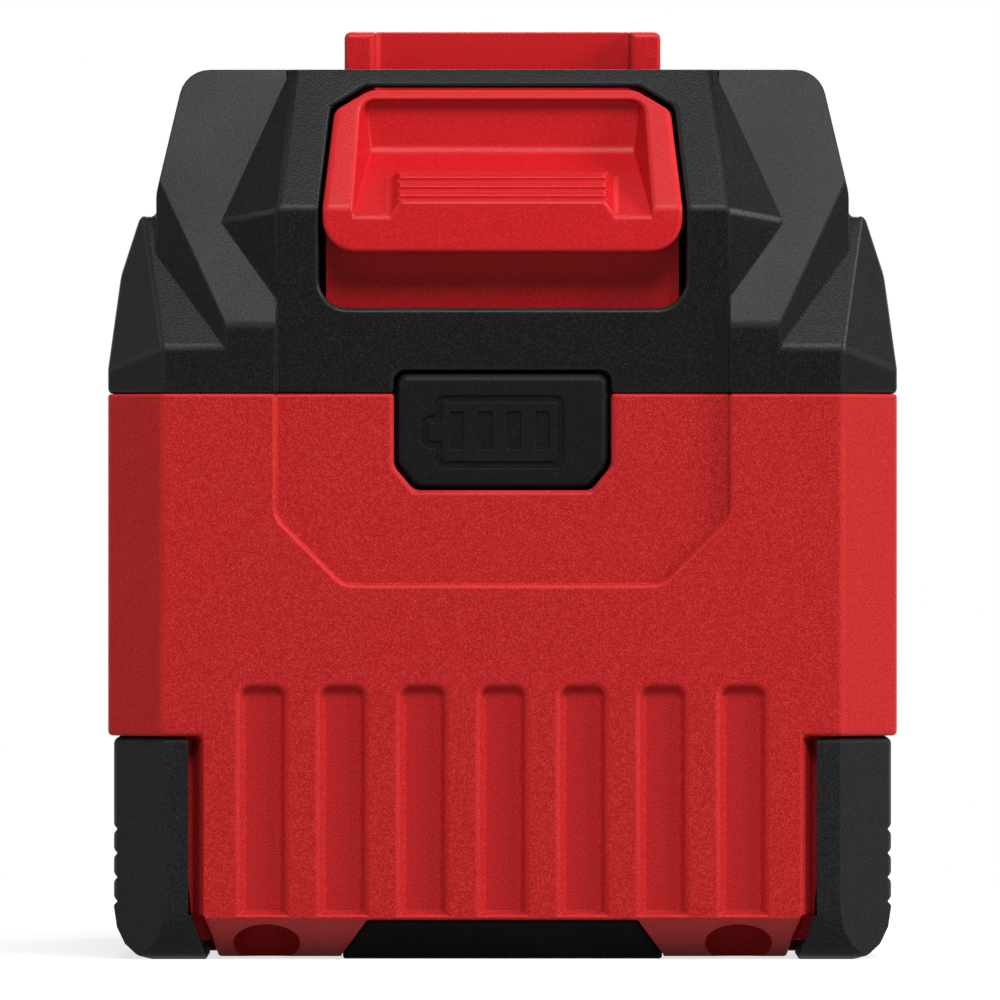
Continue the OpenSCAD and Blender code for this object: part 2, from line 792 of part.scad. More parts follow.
module gauge_button() {
    color("dimgray") difference() {
        union() {
            along_y(front_y + gauge_face, front_y + flange_back) gauge_outline(0);
            intersection() {
                along_y(front_y + flange_front, front_y + flange_back) gauge_outline(flange_lip);
                translate([-far / 2, -far / 2, gauge_high - far]) cube(far);
            }
            translate([0, front_y + flange_back - past / 2, switch_z]) rotate([-90, 0, 0])
                cylinder(post_back - flange_back + past / 2, r = post_r);
        }
        along_y(front_y, front_y + gauge_face + icon_depth) {
            difference() {
                icon_outline(0);
                icon_outline(icon_line);
            }
            at_bars() square(bar_size, center = true);
        }
    }
}

gauge_board_front = post_back + 3.2;
gauge_board_thickness = 1.2;
gauge_board_back = gauge_board_front + gauge_board_thickness;
gauge_board_half = gauge_half + 2.2;
gauge_board_low = holder_top + 0.4;
gauge_board_high = shelf_top - shelf_thickness - 0.3;
switch_size = [6, 2.2, 5.2];
switch_bore = 1.8;
switch_pin_r = 1.6;
switch_pin_gap = 0.05;
gauge_header_size = [12, 4.5, 2.8];
lamp_size = [1.8, 0.9, 1];
lamp_z = gauge_mid + 1.6;

module gauge_board() {
    color("seagreen") translate([-gauge_board_half, front_y + gauge_board_front, gauge_board_low])
        cube([2 * gauge_board_half, gauge_board_thickness, gauge_board_high - gauge_board_low]);
}

module gauge_lamps() {
    color("gold") for (i = [0 : bar_count - 1])
        translate([bar_first + i * bar_pitch - lamp_size[0] / 2,
                   front_y + gauge_board_front - lamp_size[1] - weld_gap, lamp_z]) cube(lamp_size);
}

module tact_switch() {
    front = front_y + gauge_board_front - weld_gap - switch_size[1];
    color("gray") difference() {
        translate([-switch_size[0] / 2, front, switch_z - switch_size[2] / 2]) cube(switch_size);
        translate([0, front - past, switch_z]) rotate([-90, 0, 0])
            cylinder(switch_bore + past, r = switch_pin_r + switch_pin_gap);
    }
}

module switch_plunger() {
    front = post_back + switch_pin_gap;
    back = gauge_board_front - weld_gap - switch_size[1] + switch_bore - gauge_travel - switch_pin_gap;
    color("black") translate([0, front_y + front, switch_z]) rotate([-90, 0, 0])
        cylinder(back - front, r = switch_pin_r);
}

// The header that ties the gauge board to the main board
module gauge_header() {
    color("black")
        translate([-gauge_header_size[0] / 2, front_y + gauge_board_back + weld_gap, board_top + weld_gap])
            cube(gauge_header_size);
}

// Cells and their holders
strip_thickness = 0.3;
strip_half = 6.5;             // strip reaches this far from the middle of a cell
strip_x = cell_length / 2 + weld_gap;
tab_width = 4;
insulator_thickness = 0.4;
board_low = holder_top + 1.5;
board_thickness = 1.6;
board_top = board_low + board_thickness;
board_half = cell_length / 2 - 0.5;
board_front = front_y + gauge_board_back + 1.4;
board_back = half_l - 13;
post_radius = 2.3;            // posts on the holders that carry the board
post_x = cell_length / 2 - 3.4;
post_y = 1.5 * cell_pitch;
board_screw_r = 1.1;
board_screw_tip = holder_top - 4;
board_screw_head = [2.1, 1.4];
tab_foot = 3;

function cell_y(column) = (column - (cell_columns - 1) / 2) * cell_pitch;
function cell_z(row) = cell_first_z + row * cell_pitch;

module cell(index) {
    column = floor((index - 1) / cell_rows);
    row = (index - 1) % cell_rows;
    flip = column % 2;
    body = cell_length - cell_button[1];
    color("mediumseagreen") translate([0, cell_y(column), cell_z(row)]) mirror([flip, 0, 0])
        translate([-cell_length / 2, 0, 0]) rotate([0, 90, 0]) {
            cylinder(body, r = cell_r);
            cylinder(cell_length, r = cell_button[0]);
        }
}

// The right-hand holder; the left one is its mirror image
module cell_holder() {
    color("darkgray") difference() {
        union() {
            intersection() {
                bevelled_block(cavity_inset + seat_gap, floor_top + seat_gap, holder_top, core_slope);
                translate([holder_inner, -holder_half_l, 0])
                    cube([cell_length / 2 - holder_inner, 2 * holder_half_l, far]);
            }
            both_ends() translate([post_x, post_y, holder_top - web])
                cylinder(board_low - holder_top + web, r = post_radius);
        }
        for (column = [0 : cell_columns - 1], row = [0 : cell_rows - 1])
            translate([0, cell_y(column), cell_z(row)]) rotate([0, 90, 0])
                cylinder(far, r = cell_r + seat_gap);
        both_ends() translate([post_x, post_y, board_screw_tip]) cylinder(far, r = board_screw_r);
    }
}

module cell_holder_right() { cell_holder(); }
module cell_holder_left() { mirror([1, 0, 0]) cell_holder(); }

// Nickel strip that joins the cells of one or two columns at one side, with a tab bent over the board
module bus_strip(first, last, side) {
    low = cell_z(0) - strip_half;
    high = cell_z(cell_rows - 1) + strip_half;
    tab_top = board_top + weld_gap + strip_thickness;
    color("silver") mirror([side < 0 ? 1 : 0, 0, 0]) {
        translate([strip_x, cell_y(first) - strip_half, low])
            cube([strip_thickness, cell_y(last) - cell_y(first) + 2 * strip_half, high - low]);
        translate([strip_x, cell_y(first) - tab_width / 2, high - past])
            cube([strip_thickness, tab_width, tab_top - high + past]);
        translate([board_half - tab_foot, cell_y(first) - tab_width / 2, tab_top - strip_thickness])
            cube([strip_x + strip_thickness - board_half + tab_foot, tab_width, strip_thickness]);
    }
}

module bus_negative() { bus_strip(0, 0, -1); }
module bus_link_1() { bus_strip(0, 1, 1); }
module bus_link_2() { bus_strip(1, 2, -1); }
module bus_link_3() { bus_strip(2, 3, 1); }
module bus_link_4() { bus_strip(3, 4, -1); }
module bus_positive() { bus_strip(4, 4, 1); }

// Fibre sheet between the strips and the case
module end_insulator(side) {
    low = floor_top + core_slope[1] + past;
    color("tan") mirror([side < 0 ? 1 : 0, 0, 0])
        translate([strip_x + strip_thickness + seat_gap / 3, -holder_half_l + corner_bevel / 2, low])
            cube([insulator_thickness, 2 * holder_half_l - corner_bevel, holder_top - low]);
}

module end_insulator_left() { end_insulator(-1); }
module end_insulator_right() { end_insulator(1); }

module at_posts() {
    both_sides() both_ends() translate([post_x, post_y, 0]) children();
}

module main_board() {
    color("seagreen") difference() {
        translate([-board_half, board_front, board_low + weld_gap])
            cube([2 * board_half, board_back - board_front, board_thickness - weld_gap]);
        at_posts() cylinder(far, r = board_screw_r + seat_gap);
    }
}

module board_screws() {
    color("silver") at_posts() {
        translate([0, 0, board_screw_tip + seat_gap])
            cylinder(board_top - board_screw_tip, r = board_screw_r - weld_gap);
        translate([0, 0, board_top + weld_gap]) cylinder(board_screw_head[1], r = board_screw_head[0]);
    }
}

// Terminals under the rail
terminal_half = rail_neck_half - wall - 1.4;
terminal_back = rail_end - wall - 0.9;
terminal_length = 28;
terminal_top = rail_top - wall - 1;
terminal_sink = 7;
terminal_floor = wing_top - terminal_sink;
contact_leaf = 0.5;
contact_gap = 0.1;
contact_base = 2;
contact_length = 14;
contact_drop = 2;
contact_setback = 5;
contact_top = terminal_top - contact_drop;

module terminal_block() {
    color("dimgray") difference() {
        translate([-terminal_half, terminal_back - terminal_length, board_top + weld_gap])
            cube([2 * terminal_half, terminal_length, terminal_top - board_top - weld_gap]);
        at_slots() translate([-slot_width / 2, rail_end - slot_length, terminal_floor])
            cube([slot_width, far, far]);
    }
}

// Forked contact that stands in a slot, counted from the left
module contact(index) {
    half = slot_width / 2 - contact_gap;
    x = (index - (slot_count + 1) / 2) * slot_pitch;
    color("goldenrod") translate([x, rail_end - slot_length + contact_setback, 0])
        difference() {
            translate([-half, 0, terminal_floor + weld_gap])
                cube([2 * half, contact_length, contact_top - terminal_floor]);
            translate([contact_leaf - half, -past, terminal_floor + contact_base])
                cube([2 * (half - contact_leaf), far, far]);
        }
}

module contact_negative() { contact(1); }
module contact_data_1() { contact(2); }
module contact_data_2() { contact(3); }
module contact_data_3() { contact(4); }
module contact_positive() { contact(5); }

// Parts on the board
transistor_size = [10, 9, 2.3];
transistor_tab = [6.6, 3, 1.1];
transistor_x = 14;
transistor_y = -14;
chip_size = [7, 7, 1];
chip_place = [-3.5, 4];
bead_r = 1.4;
bead_height = 3;
lead_r = 0.3;
lead_half = 0.8;

module power_transistors() {
    color("black") both_sides() translate([transistor_x, transistor_y, board_top + weld_gap]) {
        translate([-transistor_size[0] / 2, 0, 0]) cube(transistor_size);
        translate([-transistor_tab[0] / 2, -transistor_tab[1], 0]) cube(transistor_tab + [0, past, 0]);
    }
}

module controller_chip() {
    color("black") translate([chip_place[0], chip_place[1], board_top + weld_gap]) cube(chip_size);
}

// Heat sensor that hangs from the board between two columns of cells
module thermistor() {
    low = cell_z(cell_rows - 1) + sqrt(pow(cell_r + bead_r + 0.5, 2) - pow(cell_pitch / 2, 2));
    color("black") translate([0, -cell_pitch / 2, low]) {
        cylinder(bead_height, r = bead_r);
        both_sides() translate([lead_half, 0, 0]) cylinder(board_low - low, r = lead_r);
    }
}

lower_case();
base_pad();
bumper_front_right();
bumper_front_left();
bumper_rear_right();
bumper_rear_left();
upper_cover();
case_screws();
release_latch();
latch_springs();
gauge_button();
gauge_board();
gauge_lamps();
tact_switch();
switch_plunger();
gauge_header();
cell(1);  // cell_1
cell(2);  // cell_2
cell(3);  // cell_3
cell(4);  // cell_4
cell(5);  // cell_5
cell(6);  // cell_6
cell(7);  // cell_7
cell(8);  // cell_8
cell(9);  // cell_9
cell(10);  // cell_10
cell_holder_right();
cell_holder_left();
bus_negative();
bus_link_1();
bus_link_2();
bus_link_3();
bus_link_4();
bus_positive();
end_insulator_left();
end_insulator_right();
main_board();
board_screws();
terminal_block();
contact_negative();
contact_data_1();
contact_data_2();
contact_data_3();
contact_positive();
power_transistors();
controller_chip();
thermistor();
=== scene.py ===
import bpy
import bmesh
import json
import math
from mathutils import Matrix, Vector


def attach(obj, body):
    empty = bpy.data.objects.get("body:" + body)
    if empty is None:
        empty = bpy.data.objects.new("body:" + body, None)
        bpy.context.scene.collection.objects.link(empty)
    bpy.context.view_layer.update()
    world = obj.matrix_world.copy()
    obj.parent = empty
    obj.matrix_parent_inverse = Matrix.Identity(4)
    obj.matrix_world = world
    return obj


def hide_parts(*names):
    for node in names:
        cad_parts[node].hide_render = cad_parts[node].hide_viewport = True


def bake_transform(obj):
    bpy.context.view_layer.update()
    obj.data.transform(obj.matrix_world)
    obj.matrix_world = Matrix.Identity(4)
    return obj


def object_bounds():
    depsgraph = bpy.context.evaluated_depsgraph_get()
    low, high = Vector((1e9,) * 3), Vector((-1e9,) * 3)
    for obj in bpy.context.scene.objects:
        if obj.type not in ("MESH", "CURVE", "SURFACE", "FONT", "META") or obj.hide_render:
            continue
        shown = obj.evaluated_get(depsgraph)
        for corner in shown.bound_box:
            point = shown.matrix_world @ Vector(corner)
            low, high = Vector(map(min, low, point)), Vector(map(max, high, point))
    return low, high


mm = 0.001

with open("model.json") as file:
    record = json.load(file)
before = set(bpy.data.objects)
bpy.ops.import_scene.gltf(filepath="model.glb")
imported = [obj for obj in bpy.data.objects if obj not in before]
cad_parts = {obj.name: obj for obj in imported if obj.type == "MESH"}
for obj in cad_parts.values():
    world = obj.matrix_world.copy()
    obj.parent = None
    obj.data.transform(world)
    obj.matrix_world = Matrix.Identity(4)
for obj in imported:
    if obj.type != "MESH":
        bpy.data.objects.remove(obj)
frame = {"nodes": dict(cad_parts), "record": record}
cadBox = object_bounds()
print("frame loaded,", len(frame["nodes"]), "nodes")


# camera, floor and lights

shot = {
    "distance": 2.2,            # from the front of the case
    "across": 103.67 * mm,      # width of the picture at the front of the case
    "middle": (-0.26 * mm, 47.69 * mm),
    "sensor": 36.0,
    "clipEnd": 50.0,
}
studio = {
    "floorSize": 12.0,
    "floorColour": (0.4, 0.4, 0.4, 1),
    "floorLift": 0.72,          # what the floor adds for the camera and for mirrored rays
    "floorFade": (0.12, 0.4),   # the floor turns plain white between these distances
    "worldLight": 0.06,
    "lamps": {
        "keySoftbox": {"at": (0.2, -1.42, 1.4), "size": (1.0, 0.75), "watts": 28.5},
        "rightSoftbox": {"at": (1.7, -0.63, 0.9), "size": (0.6, 0.6), "watts": 30},
        "leftSoftbox": {"at": (-1.7, -0.63, 0.9), "size": (0.6, 0.6), "watts": 5},
        "backSoftbox": {"at": (0.3, 1.6, 1.2), "size": (1.4, 0.9), "watts": 24},
    },
    "aim": (0, -0.03, 0.05),
}


def setCamera():
    front = cadBox[0][1]
    data = bpy.data.cameras.new("photoView")
    data.sensor_width = shot["sensor"]
    data.lens = shot["sensor"] * shot["distance"] / shot["across"]
    data.clip_end = shot["clipEnd"]
    camera = bpy.data.objects.new("photoView", data)
    bpy.context.collection.objects.link(camera)
    camera.location = (shot["middle"][0], front - shot["distance"], shot["middle"][1])
    camera.rotation_euler = (math.pi / 2, 0, 0)
    bpy.context.scene.camera = camera


# 1 for what the camera sees, straight or in metal and clear plastic, and 0 for lighting rays
def seenOrMirrored(nodes, links):
    path = nodes.new("ShaderNodeLightPath")
    first, second = nodes.new("ShaderNodeMath"), nodes.new("ShaderNodeMath")
    for step in (first, second):
        step.operation = "MAXIMUM"
    links.new(path.outputs["Is Camera Ray"], first.inputs[0])
    links.new(path.outputs["Is Glossy Ray"], first.inputs[1])
    links.new(first.outputs[0], second.inputs[0])
    links.new(path.outputs["Is Transmission Ray"], second.inputs[1])
    return second.outputs[0]


def setFloor():
    bpy.ops.mesh.primitive_plane_add(size=studio["floorSize"], location=(0, 0, 0))
    floor = bpy.context.object
    floor.name = "studioFloor"
    finish = bpy.data.materials.new("palePaper")
    finish.use_nodes = True
    nodes, links = finish.node_tree.nodes, finish.node_tree.links
    nodes.clear()
    out = nodes.new("ShaderNodeOutputMaterial")
    paper = nodes.new("ShaderNodeBsdfDiffuse")
    paper.inputs["Color"].default_value = studio["floorColour"]
    glow = nodes.new("ShaderNodeEmission")
    white = nodes.new("ShaderNodeEmission")
    shown = seenOrMirrored(nodes, links)
    lift = nodes.new("ShaderNodeMath")
    lift.operation = "MULTIPLY"
    lift.inputs[1].default_value = studio["floorLift"]
    both = nodes.new("ShaderNodeAddShader")
    place = nodes.new("ShaderNodeTexCoord")
    reach = nodes.new("ShaderNodeVectorMath")
    reach.operation = "LENGTH"
    fade = nodes.new("ShaderNodeMapRange")
    fade.interpolation_type = "SMOOTHSTEP"
    fadeStart, fadeEnd = studio["floorFade"]
    fade.inputs["From Min"].default_value = fadeStart
    fade.inputs["From Max"].default_value = fadeEnd
    seen = nodes.new("ShaderNodeMath")
    seen.operation = "MULTIPLY"
    blend = nodes.new("ShaderNodeMixShader")
    links.new(shown, lift.inputs[0])
    links.new(lift.outputs[0], glow.inputs["Strength"])
    links.new(paper.outputs[0], both.inputs[0])
    links.new(glow.outputs[0], both.inputs[1])
    links.new(place.outputs["Object"], reach.inputs[0])
    links.new(reach.outputs["Value"], fade.inputs["Value"])
    links.new(fade.outputs[0], seen.inputs[0])
    links.new(shown, seen.inputs[1])
    links.new(seen.outputs[0], blend.inputs[0])
    links.new(both.outputs[0], blend.inputs[1])
    links.new(white.outputs[0], blend.inputs[2])
    links.new(blend.outputs[0], out.inputs["Surface"])
    floor.data.materials.append(finish)


def setWorld():
    world = bpy.data.worlds.new("whiteStudio")
    bpy.context.scene.world = world
    world.use_nodes = True
    nodes, links = world.node_tree.nodes, world.node_tree.links
    nodes.clear()
    out = nodes.new("ShaderNodeOutputWorld")
    back = nodes.new("ShaderNodeBackground")
    level = nodes.new("ShaderNodeMapRange")
    level.inputs["To Min"].default_value = studio["worldLight"]
    level.inputs["To Max"].default_value = 1.0
    back.inputs["Color"].default_value = (1, 1, 1, 1)
    links.new(seenOrMirrored(nodes, links), level.inputs["Value"])
    links.new(level.outputs[0], back.inputs["Strength"])
    links.new(back.outputs[0], out.inputs["Surface"])


def setLamps():
    aim = Vector(studio["aim"])
    for name, lamp in studio["lamps"].items():
        data = bpy.data.lights.new(name, "AREA")
        data.shape = "RECTANGLE"
        data.size, data.size_y = lamp["size"]
        data.energy = lamp["watts"]
        light = bpy.data.objects.new(name, data)
        bpy.context.collection.objects.link(light)
        light.location = lamp["at"]
        light.rotation_euler = (aim - light.location).to_track_quat("-Z", "Y").to_euler()


setCamera()
setFloor()
setWorld()
setLamps()
bpy.context.scene.view_settings.view_transform = "Standard"
print("studio set")


# finishes

noiseSpan = (0.3, 0.7)      # the part of its range that a noise texture mostly fills
plastic = {
    "fleckDetail": 3, "fleckRough": 0.6,
    "cloudScale": 90, "cloudDetail": 3,     # broad changes in the roughness and in the thickness of the painted edge highlights
    "grainDetail": 2, "grainDepth": 0.03 * mm,
    "gloss": 0.5,
}
metal = {"detail": 4, "grain": 0.1, "grainDepth": 0.02 * mm}


def startFinish(name):
    finish = bpy.data.materials.new(name)
    finish.use_nodes = True
    nodes, links = finish.node_tree.nodes, finish.node_tree.links
    shader = nodes["Principled BSDF"]
    place = nodes.new("ShaderNodeTexCoord")
    return finish, nodes, links, shader, place


def addNoise(nodes, links, place, scale, detail, rough=0.5):
    noise = nodes.new("ShaderNodeTexNoise")
    noise.inputs["Scale"].default_value = scale
    noise.inputs["Detail"].default_value = detail
    noise.inputs["Roughness"].default_value = rough
    links.new(place.outputs["Object"], noise.inputs["Vector"])
    return noise


def addRamp(nodes, links, source, stops):
    ramp = nodes.new("ShaderNodeValToRGB")
    while len(ramp.color_ramp.elements) < len(stops):
        ramp.color_ramp.elements.new(0.5)
    for element, (at, colour) in zip(ramp.color_ramp.elements, stops):
        element.position = at
        element.color = (*colour, 1)
    links.new(source, ramp.inputs["Fac"])
    return ramp


def addRange(nodes, links, source, low, high):
    span = nodes.new("ShaderNodeMapRange")
    span.inputs["From Min"].default_value = noiseSpan[0]
    span.inputs["From Max"].default_value = noiseSpan[1]
    span.inputs["To Min"].default_value = low
    span.inputs["To Max"].default_value = high
    links.new(source, span.inputs["Value"])
    return span


def addGrain(nodes, links, source, shader, strength, depth):
    bump = nodes.new("ShaderNodeBump")
    bump.inputs["Strength"].default_value = strength
    bump.inputs["Distance"].default_value = depth
    links.new(source, bump.inputs["Height"])
    links.new(bump.outputs["Normal"], shader.inputs["Normal"])


# painted highlight: a lighter colour on the edges that the rounding has marked, standing in for the light
# the rounded edges catch, thicker and thinner along them
def addPaintedEdgeHighlights(nodes, links, cloud, colour, look):
    highlightMask = nodes.new("ShaderNodeAttribute")
    highlightMask.attribute_name = "rubbed"
    thickness = addRange(nodes, links, cloud, *look["rub"])
    share = nodes.new("ShaderNodeMath")
    share.operation = "MULTIPLY"
    links.new(highlightMask.outputs["Fac"], share.inputs[0])
    links.new(thickness.outputs[0], share.inputs[1])
    blend = nodes.new("ShaderNodeMixRGB")
    blend.inputs["Color2"].default_value = (*look["rubbed"], 1)
    links.new(share.outputs[0], blend.inputs["Fac"])
    links.new(colour, blend.inputs["Color1"])
    return blend.outputs["Color"]


# moulded plastic: a spark-eroded grain with fine flecks in the colour
def mouldedPlastic(name, look):
    finish, nodes, links, shader, place = startFinish(name)
    flecks = addNoise(nodes, links, place, look["fleckScale"], plastic["fleckDetail"], plastic["fleckRough"])
    tone = addRamp(nodes, links, flecks.outputs["Fac"], look["tones"])
    cloud = addNoise(nodes, links, place, plastic["cloudScale"], plastic["cloudDetail"])
    colour = tone.outputs["Color"]
    # painted highlights on the rounded edges, where the finish has a colour for them
    if "rubbed" in look:
        colour = addPaintedEdgeHighlights(nodes, links, cloud.outputs["Fac"], colour, look)
    links.new(colour, shader.inputs["Base Color"])
    rough = addRange(nodes, links, cloud.outputs["Fac"], *look["rough"])
    links.new(rough.outputs[0], shader.inputs["Roughness"])
    grain = addNoise(nodes, links, place, look["grainScale"], plastic["grainDetail"])
    addGrain(nodes, links, grain.outputs["Fac"], shader, look["grain"], plastic["grainDepth"])
    shader.inputs["Specular IOR Level"].default_value = look.get("gloss", plastic["gloss"])
    return finish


# rolled or drawn metal with fine streaks along one axis
def drawnMetal(name, look):
    finish, nodes, links, shader, place = startFinish(name)
    stretch = nodes.new("ShaderNodeMapping")
    stretch.inputs["Scale"].default_value = look["stretch"]
    links.new(place.outputs["Object"], stretch.inputs["Vector"])
    streak = nodes.new("ShaderNodeTexNoise")
    streak.inputs["Scale"].default_value = look["scale"]
    streak.inputs["Detail"].default_value = metal["detail"]
    links.new(stretch.outputs["Vector"], streak.inputs["Vector"])
    tone = addRamp(nodes, links, streak.outputs["Fac"], look["tones"])
    links.new(tone.outputs["Color"], shader.inputs["Base Color"])
    rough = addRange(nodes, links, streak.outputs["Fac"], *look["rough"])
    links.new(rough.outputs[0], shader.inputs["Roughness"])
    addGrain(nodes, links, streak.outputs["Fac"], shader, metal["grain"], metal["grainDepth"])
    shader.inputs["Metallic"].default_value = 1.0
    return finish


# the lighter colours given for the rounded edges are painted highlights, lighter than each plastic's own
# tones
finishes = {
    "case_red": mouldedPlastic("speckledRed", {
        "fleckScale": 8200, "grainScale": 5600, "grain": 0.5, "rough": (0.44, 0.52), "gloss": 0.1,
        "tones": [(0.25, (0.29, 0.004, 0.005)), (0.5, (0.43, 0.011, 0.012)), (0.7, (0.61, 0.05, 0.05))],
        "rubbed": (0.74, 0.045, 0.035), "rub": (0.35, 0.7)}),
    "latch_red": mouldedPlastic("satinRed", {
        "fleckScale": 8200, "grainScale": 5600, "grain": 0.5, "rough": (0.28, 0.34), "gloss": 0.11,
        "tones": [(0.25, (0.4, 0.005, 0.008)), (0.5, (0.53, 0.01, 0.014)), (0.75, (0.68, 0.03, 0.036))],
        "rubbed": (0.78, 0.06, 0.055), "rub": (0.3, 0.6)}),
    "cover_black": mouldedPlastic("satinBlack", {
        "fleckScale": 8200, "grainScale": 5000, "grain": 0.7, "rough": (0.29, 0.35), "gloss": 0.115,
        "tones": [(0.42, (0.0002, 0.0002, 0.0002)), (0.52, (0.0012, 0.0012, 0.0013)), (0.66,
                  (0.018, 0.018, 0.019))],
        "rubbed": (0.05, 0.05, 0.052), "rub": (0.3, 0.65)}),
    "bumper_black": mouldedPlastic("bumperBlack", {
        "fleckScale": 8200, "grainScale": 5000, "grain": 0.7, "rough": (0.46, 0.54), "gloss": 0.09,
        "tones": [(0.36, (0.002, 0.002, 0.0022)), (0.5, (0.008, 0.008, 0.0084)), (0.68,
                  (0.026, 0.026, 0.027))],
        "rubbed": (0.04, 0.04, 0.041), "rub": (0.2, 0.5)}),
    # a duller black for the base pad: rougher and less glossy than the bumpers, with darker tones that are
    # painted shade for its place low under the case
    "pad_black": mouldedPlastic("padBlack", {
        "fleckScale": 4200, "grainScale": 3600, "grain": 0.8, "rough": (0.75, 0.85), "gloss": 0.03,
        "tones": [(0.4, (0.001, 0.001, 0.001)), (0.5, (0.002, 0.002, 0.002)), (0.68,
                  (0.007, 0.007, 0.007))]}),
    "gauge_black": mouldedPlastic("gaugeBlack", {
        "fleckScale": 8200, "grainScale": 5000, "grain": 0.6, "rough": (0.4, 0.48), "gloss": 0.08,
        "tones": [(0.4, (0.0012, 0.0012, 0.0013)), (0.5, (0.0036, 0.0036, 0.0038)), (0.68,
                  (0.016, 0.016, 0.0165))],
        "rubbed": (0.03, 0.03, 0.031), "rub": (0.3, 0.6)}),
    "holder_grey": mouldedPlastic("holderGrey", {
        "fleckScale": 1500, "grainScale": 2200, "grain": 0.3, "rough": (0.5, 0.6),
        "tones": [(0.3, (0.05, 0.05, 0.052)), (0.7, (0.065, 0.065, 0.068))]}),
    "cell_wrap": mouldedPlastic("sleeveGreen", {
        "fleckScale": 400, "grainScale": 900, "grain": 0.1, "rough": (0.28, 0.36),
        "tones": [(0.3, (0.02, 0.2, 0.13)), (0.7, (0.03, 0.25, 0.16))]}),
    "board_green": mouldedPlastic("boardGreen", {
        "fleckScale": 900, "grainScale": 1500, "grain": 0.12, "rough": (0.3, 0.4),
        "tones": [(0.3, (0.01, 0.12, 0.045)), (0.7, (0.014, 0.16, 0.06))]}),
    "fibre": mouldedPlastic("fibreSheet", {
        "fleckScale": 700, "grainScale": 1200, "grain": 0.4, "rough": (0.75, 0.85),
        "tones": [(0.3, (0.3, 0.21, 0.11)), (0.7, (0.38, 0.28, 0.16))]}),
    "lamp": mouldedPlastic("lampResin", {
        "fleckScale": 500, "grainScale": 900, "grain": 0.05, "rough": (0.18, 0.24),
        "tones": [(0.3, (0.7, 0.62, 0.3)), (0.7, (0.78, 0.7, 0.38))]}),
    "switch_grey": mouldedPlastic("switchGrey", {
        "fleckScale": 900, "grainScale": 1500, "grain": 0.15, "rough": (0.35, 0.45),
        "tones": [(0.3, (0.1, 0.1, 0.105)), (0.7, (0.13, 0.13, 0.135))]}),
    "part_black": mouldedPlastic("partBlack", {
        "fleckScale": 1600, "grainScale": 2200, "grain": 0.25, "rough": (0.42, 0.52),
        "tones": [(0.3, (0.009, 0.009, 0.0095)), (0.7, (0.016, 0.016, 0.017))]}),
    "screw_steel": drawnMetal("zincSteel", {
        "stretch": (1, 1, 0.1), "scale": 1200, "rough": (0.3, 0.42),
        "tones": [(0.3, (0.34, 0.34, 0.35)), (0.7, (0.5, 0.5, 0.51))]}),
    "spring_steel": drawnMetal("springWire", {
        "stretch": (1, 1, 1), "scale": 900, "rough": (0.22, 0.32),
        "tones": [(0.3, (0.42, 0.42, 0.43)), (0.7, (0.58, 0.58, 0.59))]}),
    "nickel": drawnMetal("nickelStrip", {
        "stretch": (1, 0.1, 1), "scale": 1500, "rough": (0.25, 0.36),
        "tones": [(0.3, (0.55, 0.53, 0.49)), (0.7, (0.68, 0.66, 0.62))]}),
    "contact_metal": drawnMetal("contactStrip", {
        "stretch": (1, 1, 0.1), "scale": 1500, "rough": (0.22, 0.32),
        "tones": [(0.3, (0.62, 0.42, 0.2)), (0.7, (0.75, 0.54, 0.28))]}),
}
print("finishes made")


# pieces

bodies = frame["record"]["behaviour"]["bodies"]
bodyOf = {node: body for body, nodes in bodies.items() for node in nodes}
slotOf = {part["node"]: part["material_slot"] for part in frame["record"]["subparts"]}

# how the nodes are merged: points closer than the weld are one, and faces within the flat angle are joined
merging = {"weld": 0.002 * mm, "cut": 0.001 * mm, "flatAngle": math.radians(0.6)}

# how the edges are rounded, with the angles in degrees
rounding = {
    "sharp": 24,            # an edge between faces that turn more than this is rounded
    "runTurn": 40,          # edges that turn less than this run on into each other
    "strip": 1.2 * mm,      # a narrower face is part of a rounded corner
    "outerShare": 0.72,     # of the face beside an outer edge
    "innerShare": 0.2,      # of the face beside an inner edge
    "cornerShare": 0.45,    # of the shorter of two edges that meet
    "leastTurn": 0.02,      # radians, for edges in one line
    "smooth": 36,
    "flatWeight": 100,
}
roundedSlot = 1             # material slot of the rounded faces, until the painted edge highlights are marked on them
highlightBase = 0.3            # how strongly the painted highlight shows on an edge that doesn't face up
draftMargin = 0.1           # mm

